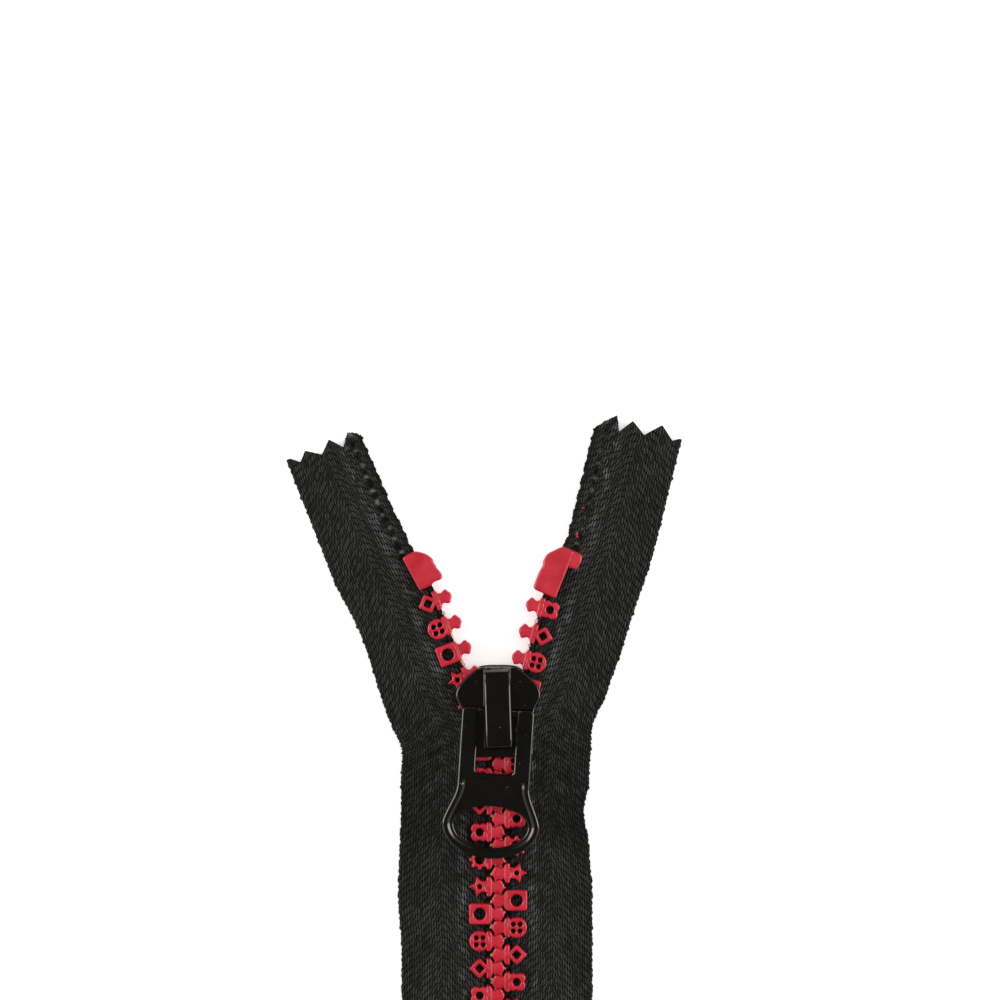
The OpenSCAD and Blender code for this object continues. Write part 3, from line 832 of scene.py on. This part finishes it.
def tape_mesh(name, side, v0, v1, pinked):
    """A length of one tape with its bead along the inner edge, from v0 to v1 past the bend."""
    first = CORD_X + math.ceil((BEAD_U + BEAD_HALF_W - 0.15 - CORD_X) / (YARN_W / 3)) * YARN_W / 3
    flat_u = np.arange(first, TAPE_EDGE - 0.02, YARN_W / 3)
    turn = np.radians(np.linspace(180, 35, 9))
    bead = np.column_stack([BEAD_U + BEAD_HALF_W * np.cos(turn), BEAD_HALF_T * np.sin(turn)])
    ring = [(u, z, 2) for u, z in bead] + [(u, TAPE_HALF_T, 1) for u in flat_u]
    ring += [(TAPE_EDGE, 0, 3)] + [(u, -TAPE_HALF_T, -1) for u in flat_u[::-1]]
    ring = np.array(ring + [(u, -z, -2) for u, z in bead[:0:-1]])
    rings = int(round((v1 - v0) / RING_STEP))
    flat, v = np.meshgrid(ring[:, 0], np.linspace(v0, v1, rings + 1))
    u, z = flat.copy(), np.broadcast_to(ring[:, 1], flat.shape).copy()
    face = np.broadcast_to(ring[:, 2], flat.shape)
    front, cloth, bead_skin = np.sign(face), np.abs(face) == 1, np.abs(face) == 2
    weave = np.where(face > 0, weave_height(u, v, False), weave_height(u, v, True))
    z += np.where(cloth, front * WEAVE_DEPTH * (weave - 0.5), 0)
    # cross-threads that bind the bead, and the loops that lie loose where no tooth grips it
    twist = 1 + crossed_waves(TWIST, u, v)
    u = np.where(bead_skin, BEAD_U + (u - BEAD_U) * twist, u)
    z = np.where(bead_skin, z * twist, z)
    bare = bare_share(side, v)
    loop_at = v / LOOSE_STEP + waves(LOOP_WAVES, v)
    uneven = 0.8 + 0.2 * np.sin(np.round(loop_at) * 5.1)
    off = flat - LOOSE_U - 0.15 * np.sin(np.round(loop_at) * 3.3)
    loops = bare * uneven * LOOP_SHARE[side] * np.cos(2 * np.pi * loop_at)
    loops *= np.exp(-(off / LOOP_REACH) ** 2)
    hollow = bare * HOLLOW_DEPTH * np.exp(-((flat - LOOSE_U) / HOLLOW_REACH) ** 2)
    z += front * LOOP_RISE * loops - front * hollow
    # the selvedge's knots
    knot = np.floor(v / KNOT_STEP)
    part = v / KNOT_STEP - knot
    knots = KNOT_OUT * (1 - np.abs(2 * part - 1)) ** 3 * (0.6 + 0.4 * np.sin(knot * 4.3))
    knots += sum(amount * np.sin(2 * np.pi * v / length + start)
                 for amount, length, start in SELVEDGE_WAVES)
    u += knots * smoothstep((u - (TAPE_EDGE - SELVEDGE)) / SELVEDGE)
    # the strip's own edges wander
    bulge = BEAD_BULGE + CLOSED_BULGE * smoothstep(-v / 4)
    u -= bulge * (1 - bare) * np.clip((BEAD_U - flat) / BEAD_HALF_W, 0, 1)
    share = (flat - BEAD_U + BEAD_HALF_W) / (TAPE_EDGE - BEAD_U + BEAD_HALF_W)
    narrowed = eased(v, OUTER_STRAY[side])
    inner_wave = bare * waves(INNER_WAVES, v)
    u += narrowed * share + (eased(v, INNER_STRAY[side]) * (v > 0) + inner_wave) * (1 - share)
    # pinked ends
    ragged = waves(RAGGED_WAVES, u) * (u < RAGGED_U)
    cut = np.interp(u, *zip(*PINKED[side])) + ragged
    placed_v = v.copy()
    if pinked == "top":
        placed_v += cut * np.clip((v - (v1 - PINK_REACH)) / PINK_REACH, 0, 1)
    else:
        placed_v -= cut * np.clip((v0 + PINK_REACH - v) / PINK_REACH, 0, 1)
    z = z + tape_height(side, flat, placed_v, narrowed)
    # bend round the slider's mouth
    angle = ANGLE[side] * smoothstep((placed_v + BEND_REACH) / (2 * BEND_REACH))
    x = (u * np.cos(angle) + placed_v * np.sin(angle)) * SIDES[side]
    y = -u * np.sin(angle) + placed_v * np.cos(angle) + BEND_Y
    points = np.column_stack([x.ravel(), y.ravel(), z.ravel()]) * MM
    n = ring.shape[0]
    a = (np.arange(rings)[:, None] * n + np.arange(n)[None, :]).ravel()
    b = (np.arange(rings)[:, None] * n + (np.arange(n)[None, :] + 1) % n).ravel()
    quads = np.column_stack([a, b, b + n, a + n])
    if SIDES[side] > 0:
        quads = quads[:, ::-1]
    mesh = bpy.data.meshes.new(name)
    caps = cap_faces(n, rings * n, SIDES[side] > 0)
    mesh.from_pydata(points.tolist(), [], quads.tolist() + caps)
    # the loops' height also drives the painted highlights and shade on the loops in woven_cloth
    for key, values in (("across", flat), ("along", v), ("loop", loops)):
        layer = mesh.attributes.new(key, "FLOAT", "POINT")
        layer.data.foreach_set("value", values.ravel().astype(np.float32))
    mesh.polygons.foreach_set("use_smooth", [True] * len(mesh.polygons))
    mesh.set_sharp_from_angle(angle=math.radians(75))
    return mesh


def cap_faces(n, last, flip):
    """Quads that close both ends of a tape, joining each front point to the back point below it."""
    pairs = [(i, (n - i) % n) for i in range(n // 2 + 1)]
    faces = []
    for start in (0, last):
        for (a, b), (c, d) in zip(pairs, pairs[1:]):
            loop = [a, c, d, b] if start == 0 else [b, d, c, a]
            loop = list(dict.fromkeys(start + i for i in loop))
            if len(loop) > 2:
                faces.append(tuple(reversed(loop)) if flip else tuple(loop))
    return faces


def make_tapes(material, cores):
    for side in SIDES:
        join_v = JOIN_Y - BEND_Y
        parts = {
            "lower": (TAPE_END_Y - BEND_Y, join_v, "bottom"),
            "upper": (join_v, ARM_LEN, "top"),
        }
        for part, (v0, v1, pinked) in parts.items():
            name = f"{side}_tape_{part}_woven"
            piece = bpy.data.objects.new(name, tape_mesh(name, side, v0, v1, pinked))
            piece.data.materials.append(material)
            bpy.context.scene.collection.objects.link(piece)
            if part == "lower":
                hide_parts(*(f"{side}_{what}_{length}" for what in ("tape", "cord")
                                     for length in ("bottom", "lower")))
                along = Vector((0, LOW_BEND_REACH, 0)) * MM
                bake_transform(piece)
            else:
                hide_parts(side + "_tape_upper", side + "_cord_upper")
                half = ANGLE[side] / 2
                along = Vector((SIDES[side] * math.sin(half), math.cos(half), 0))
                along *= BEND_REACH * MM
                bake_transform(piece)


CLOSED_CORE_OUT = 0.22
FIBRES, FIBRE_R, FIBRE_Z = 18, 0.045, -1.75


def make_cores(material):
    """The pale ends of the cord's core, which peep out between the teeth."""
    made = {}
    for side in SIDES:
        rng = random.Random(3 if side == "left" else 5)
        for part, body, matrix in (("lower", side + "_lower", side_matrix(side)),
                                   ("upper", side + "_arm", arm_matrix(side))):
            solid = Solid()
            inner = BEAD_U - BEAD_HALF_W - BEAD_BULGE
            if part == "lower":
                inner -= CLOSED_CORE_OUT
                spots = [BEND_Y + PHASE[side] - PITCH * (i + 0.5) for i in range(1, LOWER_TEETH - 1)]
            else:
                spots = [PHASE[side] + PITCH * (i + 0.5) for i in range(2, ARM_TEETH[side])]
            for s in spots:
                for _ in range(rng.choice((1, 1, 2, 2))):
                    solid.ball((inner + rng.uniform(-0.1, 0.05),
                                s + rng.uniform(-0.45, 0.45), 0.12 + rng.uniform(-0.05, 0.12)),
                               (0.3, rng.uniform(0.22, 0.42), 0.28))
            placed = Solid()
            add_placed(placed, solid, matrix)
            piece = make_piece(f"{side}_core_{part}", placed, material, weighted=False)
            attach(piece, body)
            made[side, part] = piece
    return made


def make_fray(material):
    """Loose fibre ends at the cut top of each bead."""
    for side in SIDES:
        rng = random.Random(17 if side == "left" else 29)
        solid = Solid()
        for _ in range(FIBRES):
            u = rng.uniform(2.3, 6.0) + INNER_STRAY[side][-1][1] * 0.7
            v = ARM_LEN + float(np.interp(u, *zip(*PINKED[side]))) - 0.15
            spread, length = rng.uniform(-1.2, 1.2), rng.uniform(0.2, 0.5)
            path = [(u + length * t * math.sin(spread) + 0.12 * math.sin(5 * t),
                     v + length * t * math.cos(spread),
                     rng.uniform(-0.15, 0.15) + FIBRE_Z + 0.3 * t) for t in (0, 0.35, 0.7, 1)]
            add_fibre(solid, path, FIBRE_R)
        placed = Solid()
        add_placed(placed, solid, arm_matrix(side))
        piece = make_piece(side + "_fray", placed, material, weighted=False)
        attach(piece, side + "_arm")


def add_fibre(solid, path, radius, sides=5):
    """A thin tapering closed tube along a short path."""
    points, faces = [], []
    for i, centre in enumerate(path):
        r = radius * (1 - 0.6 * i / (len(path) - 1))
        for k in range(sides):
            a = 2 * math.pi * k / sides
            points.append((centre[0] + r * math.cos(a), centre[1], centre[2] + r * math.sin(a)))
    for i in range(len(path) - 1):
        for k in range(sides):
            a, b = i * sides + k, i * sides + (k + 1) % sides
            faces.append((a, b, b + sides, a + sides))
    faces.append(tuple(range(sides))[::-1])
    faces.append(tuple(range((len(path) - 1) * sides, len(path) * sides)))
    solid.add(points, faces)


def make_flecks(material):
    """Two scraps of plastic left on the right tape's bare strip."""
    solid = Solid()
    for u, v, length, lean in ((4.0, 39.5, 0.36, 70), (4.15, 35.1, 0.42, -12), (4.4, 34.7, 0.2, 60)):
        a = math.radians(lean)
        along, across = (math.sin(a), math.cos(a)), (math.cos(a), -math.sin(a))
        scrap = [(u + s * length * along[0] + t * 0.13 * across[0],
                  v + s * length * along[1] + t * 0.13 * across[1])
                 for s, t in ((-1, -0.5), (0.1, -1), (1, -0.2), (0.8, 0.6), (-0.2, 1), (-0.9, 0.7))]
        surface = float(tape_height("right", np.array([u]), np.array([v]), np.zeros(1))[0])
        top = surface - MID_Z + TAPE_HALF_T
        solid.plate(scrap, top - 0.25, top + 0.14, 0.05)
    placed = Solid()
    add_placed(placed, solid, arm_matrix("right"))
    piece = make_piece("right_flecks", placed, material)
    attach(piece, "right_arm")


# ---- slider ----

SLIDER_LEN = 14.9
WING_T = 1.1
UPPER_WING_Z = MID_Z + TOOTH_HALF + 0.2
WING_TOP = UPPER_WING_Z + WING_T
BAIL_LEAN = math.radians(1.8)


def wing_outline():
    """Both wings' outline: straight guide flanks, and a wide rounded front round the mouth."""
    end = SLIDER_LEN / 2
    half = arc(5.05, -end + 0.7, 0.7, -90, 0, 5)
    half += [(5.8, -3), (5.9, -0.6), (6.0, 0.3), (6.2, 0.9), (6.55, 1.5), (6.85, 2.1)]
    half += [(7.02, 2.8), (6.9, 3.5), (6.5, 4.25), (5.9, 5.0), (5.15, 5.75), (4.4, 6.4), (3.65, 6.95),
             (3.0, 7.25), (2.2, 7.4), (1.0, end)]
    return rounded(both_sides(half), 0.5)


def make_slider(material, worn):
    casting = Solid()
    casting.plate(wing_outline(), 0, WING_T, 0.3)
    casting.plate(wing_outline(), UPPER_WING_Z, WING_TOP, 0.32)
    post = [(-0.3, 3.4), (0.2, 3.4), (1, 6.6), (0.4, 7.2), (-0.8, 7.2), (-1.4, 6.6)]
    casting.plate(rounded(post, 0.3), WING_T / 2, UPPER_WING_Z + WING_T / 2, 0.05)
    for side in (-1, 1):
        wall = [(side * 5.15, -6.6), (side * 5.65, -6.6), (side * 5.65, -1.6), (side * 5.15, -1.6)]
        casting.plate(rounded(wall, 0.2), WING_T / 2, 2.3, 0.12)
    step = [(-2.3, -6.2), (2.05, -6.2), (2.05, 7.2), (-2.3, 7.3), (-2.45, 6.9), (-2.35, -5.6)]
    casting.plate(rounded(step, 0.3), WING_TOP - 0.4, WING_TOP + 0.16, 0.12)
    for x in (-3.5, 3.5):
        casting.ball((x, 5, WING_TOP - 0.02), (0.2, 0.2, 0.17))
    piece = make_piece("slider_casting", casting, material)
    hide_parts("slider_body")
    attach(piece, "slider")

    rear, front, height = -6.1, 7.2, 3.7
    outer = [(rear, -0.3)] + arc(rear + 2, height - 2.2, 2, 160, 95, 6)
    outer += [(rear + 2 + i, height - 0.21 + 0.03 * math.sin(math.pi * i / 7)) for i in range(2, 7)]
    outer += [(3.2, height - 0.04), (4.3, height - 0.14), (5.3, height - 0.38), (6, height - 0.68)]
    outer += arc(front - 1.1, height - 1.6, 0.9, 80, 0, 6) + [(front, -0.3)]
    inner = [(rear + 1.3, -0.3)] + arc(rear + 2.1, height - 2, 1.15, 160, 95, 6)
    inner += arc(front - 4, height - 3.6, 2.75, 85, 30, 8) + [(front - 1.4, -0.3)]
    upright = Matrix.Translation((0, 0, WING_TOP)) @ Matrix.Rotation(BAIL_LEAN, 4, "Z") @ Matrix((
        (0, 0, 1, 0), (1, 0, 0, 0), (0, 1, 0, 0), (0, 0, 0, 1)))
    bail = Solid()
    bail.plate(outer + inner[::-1], -2.15, 2.15, 0.36, move=upright)
    piece = make_piece("slider_bridge", bail, material)
    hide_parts("slider_bail")
    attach(piece, "slider")

    rub = Solid()
    lip = [(-2.1, 7.12), (2.1, 7.12), (2.1, 7.34), (-2.1, 7.34)]
    rub.plate(rounded(lip, 0.1), WING_TOP - 0.1, WING_TOP + 0.3, 0.08)
    piece = make_piece("worn_lip", rub, worn)
    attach(piece, "slider")


# ---- pull tab ----

TAB_LEN, TAB_W, RING_W, TAB_HALF_T = 24.8, 11.9, 16, 0.65
TAB_TOP = 0.8
TAB_END = TAB_TOP - TAB_LEN
NECK_Y, RING_Y, BAND, SIDE_BAND = -12.2, -18.4, 1.65, 1.85
WINDOW_W, WINDOW_Y = 6.3, -10
PANEL_Y, RIM_W, RECESS, RIM_BEVEL = -10.9, 0.86, 0.34, 0.31
PANEL_CORNER, SLOPE_R = 0.6, 1.0
TAB_CORNER, WINDOW_CORNER, BAR_R = 0.45, 0.5, 0.62
PIVOT = Vector(JOINTS["pull_tab_swing"]["pos_m"]) / MM
TAB_TILT, TAB_YAW = math.radians(3.5), math.radians(-3.8)


def half_bowl(width, y, drop, steps=18):
    turns = [math.pi / 2 * i / steps for i in range(steps + 1)]
    return [(width * math.cos(a), y - drop * math.sin(a)) for a in turns]


def tab_side(inset=0.0, top=TAB_TOP):
    """The tab's right-hand edge from its top to the foot of its ring, drawn in by inset."""
    w, r = TAB_W / 2 - inset, RING_W / 2 - inset
    side = [(w, top), (w, -6), (w, NECK_Y), (w + 0.1, NECK_Y - 0.7), (w + 0.32, NECK_Y - 1.5),
            (w + 0.68, NECK_Y - 2.4), (w + 1.12, NECK_Y - 3.4), (r - 0.5, RING_Y + 1.8),
            (r - 0.2, RING_Y + 1.0), (r - 0.04, RING_Y + 0.45)]
    return side + half_bowl(r, RING_Y, RING_Y - TAB_END - inset)


def make_tab(material):
    """The pull tab: a forked plate with a ring at its foot, a raised rim and a crossbar."""
    place = (Matrix.Translation(PIVOT) @ Matrix.Rotation(TAB_YAW, 4, "Z")
             @ Matrix.Rotation(TAB_TILT, 4, "X"))
    tab = Solid()
    outer = both_sides([(WINDOW_W / 2, TAB_TOP), (TAB_W / 2 - TAB_CORNER, TAB_TOP)]
                       + tab_side(top=TAB_TOP - TAB_CORNER))
    wall, corner = WINDOW_W / 2, WINDOW_CORNER
    mouth = [(-wall, TAB_TOP), (-wall, WINDOW_Y + corner), (-wall + corner, WINDOW_Y),
             (wall - corner, WINDOW_Y), (wall, WINDOW_Y + corner)]
    hole = both_sides([(0, -15.3), (2.2, -15.45), (4.2, -16.1), (5.4, -16.9),
                       (RING_W / 2 - SIDE_BAND - 0.1, RING_Y + 0.5)]
                      + half_bowl(RING_W / 2 - SIDE_BAND, RING_Y, RING_Y - TAB_END - BAND))
    hole = rounded(hole, 0.5)
    rim_top = TAB_HALF_T
    tab.plate(outer + mouth, -TAB_HALF_T, rim_top - RECESS, 0.24, [hole], move=place)
    below = PANEL_Y - PANEL_CORNER
    panel = both_sides([(0, PANEL_Y)]
                       + arc(TAB_W / 2 - RIM_W - PANEL_CORNER, below, PANEL_CORNER, 90, 0, 6)
                       + [p for p in tab_side(RIM_W) if p[1] < below])
    panel = rounded(panel, 0.3)
    tab.plate(outer + mouth, 0, rim_top, RIM_BEVEL, [panel], move=place)
    tab.slope(panel, -RIM_BEVEL, rim_top, RECESS, SLOPE_R, move=place)
    bar = circle(0, 0, BAR_R, 28)
    across = Matrix.Translation((0, 0.1, 0)) @ Matrix((
        (0, 0, 1, 0), (1, 0, 0, 0), (0, 1, 0, 0), (0, 0, 0, 1)))
    tab.plate(bar, -WINDOW_W / 2 - 0.4, WINDOW_W / 2 + 0.4, 0.02, move=place @ across)
    piece = make_piece("pull_tab_cast", tab, material)
    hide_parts("pull_tab")
    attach(piece, "tab")


# ---- build ----

make_camera()
make_studio()
red, cloth, enamel = red_plastic(), woven_cloth(), black_enamel()
make_teeth(red)
make_stops(red)
make_tapes(cloth, make_cores(cream_core()))
make_fray(loose_fibre())
make_flecks(red)
make_slider(enamel, worn_edge())
make_tab(enamel)
frame["nodes"]["lock_spring"].data.materials.clear()
frame["nodes"]["lock_spring"].data.materials.append(spring_steel())

floor_mesh = bpy.data.meshes.new("floor")
reach = 3.0
corners = [(-reach, -reach, 0), (reach, -reach, 0), (reach, reach, 0), (-reach, reach, 0)]
floor_mesh.from_pydata(corners, [], [(0, 1, 2, 3)])
floor_mesh.materials.append(pale_floor())
floor = bpy.data.objects.new("floor", floor_mesh)
floor.location.z = min(0.0, CAD_LOW.z) - 0.02 * MM
bpy.context.scene.collection.objects.link(floor)
